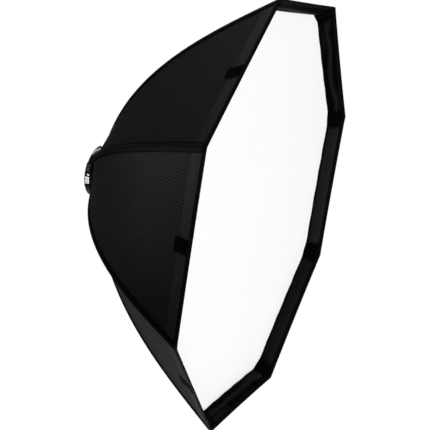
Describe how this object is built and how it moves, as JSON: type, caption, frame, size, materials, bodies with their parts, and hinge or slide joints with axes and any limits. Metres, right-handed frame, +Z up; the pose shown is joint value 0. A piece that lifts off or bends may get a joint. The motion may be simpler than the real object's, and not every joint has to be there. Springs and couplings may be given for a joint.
{
  "type": "studio softbox",
  "caption": "Octagonal black cloth softbox with a recessed white diffuser, sprung rods and a rotating rear ring that a lever clamps on a flash head.",
  "frame": {"origin": "on the turning axis, at the rear face of the clamp collar", "axes": "+Y along the turning axis out of the rear of the collar, +Z up, light leaves towards -Y"},
  "size_m": [0.8314, 0.412, 0.8314],
  "materials": {
    "cloth": "black ripstop nylon with a silver lining, satin",
    "webbing": "black webbing, matte",
    "hook_tape": "black hook-and-loop tape, matte",
    "diffusion": "white diffusion cloth, matte",
    "rod": "black fibreglass rod",
    "ring_metal": "black anodised aluminium, satin",
    "liner": "black rubber",
    "lever": "black moulded plastic",
    "grip": "grey ribbed rubber",
    "steel": "bright steel"
  },
  "bodies": {
    "mount": {"mount_collar": "ring_metal", "collar_liner": "liner", "clamp_band": "ring_metal", "lever_pin": "steel", "retaining_ring": "steel"},
    "softbox": {"ring_body": "ring_metal", "rear_hem": "webbing", "front_diffuser": "diffusion", "inner_diffuser": "diffusion", "panel_1": "cloth", "panel_2": "cloth", "panel_3": "cloth", "panel_4": "cloth", "panel_5": "cloth", "panel_6": "cloth", "panel_7": "cloth", "panel_8": "cloth", "rod_sleeve_1": "cloth", "rod_sleeve_2": "cloth", "rod_sleeve_3": "cloth", "rod_sleeve_4": "cloth", "rod_sleeve_5": "cloth", "rod_sleeve_6": "cloth", "rod_sleeve_7": "cloth", "rod_sleeve_8": "cloth", "rod_1": "rod", "rod_2": "rod", "rod_3": "rod", "rod_4": "rod", "rod_5": "rod", "rod_6": "rod", "rod_7": "rod", "rod_8": "rod", "corner_pocket_1": "webbing", "corner_pocket_2": "webbing", "corner_pocket_3": "webbing", "corner_pocket_4": "webbing", "corner_pocket_5": "webbing", "corner_pocket_6": "webbing", "corner_pocket_7": "webbing", "corner_pocket_8": "webbing", "hook_strip_1": "hook_tape", "hook_strip_2": "hook_tape", "hook_strip_3": "hook_tape", "hook_strip_4": "hook_tape", "hook_strip_5": "hook_tape", "hook_strip_6": "hook_tape", "hook_strip_7": "hook_tape", "hook_strip_8": "hook_tape", "edge_tab_1": "webbing", "edge_tab_2": "webbing", "edge_tab_3": "webbing", "edge_tab_4": "webbing", "edge_tab_5": "webbing", "edge_tab_6": "webbing", "edge_tab_7": "webbing", "edge_tab_8": "webbing"},
    "lever": {"clamp_lever": "lever", "lever_pad": "grip"}
  },
  "joints": [
    {"name": "ring_turn", "type": "hinge", "parent": "mount", "child": "softbox", "pos_m": [0, 0, 0], "axis": [0, -1, 0], "continuous": true},
    {"name": "lever_open", "type": "hinge", "parent": "mount", "child": "lever", "pos_m": [-0.0515, -0.0077, -0.02512], "axis": [0, -1, 0], "range_deg": [0, 100]}
  ]
}
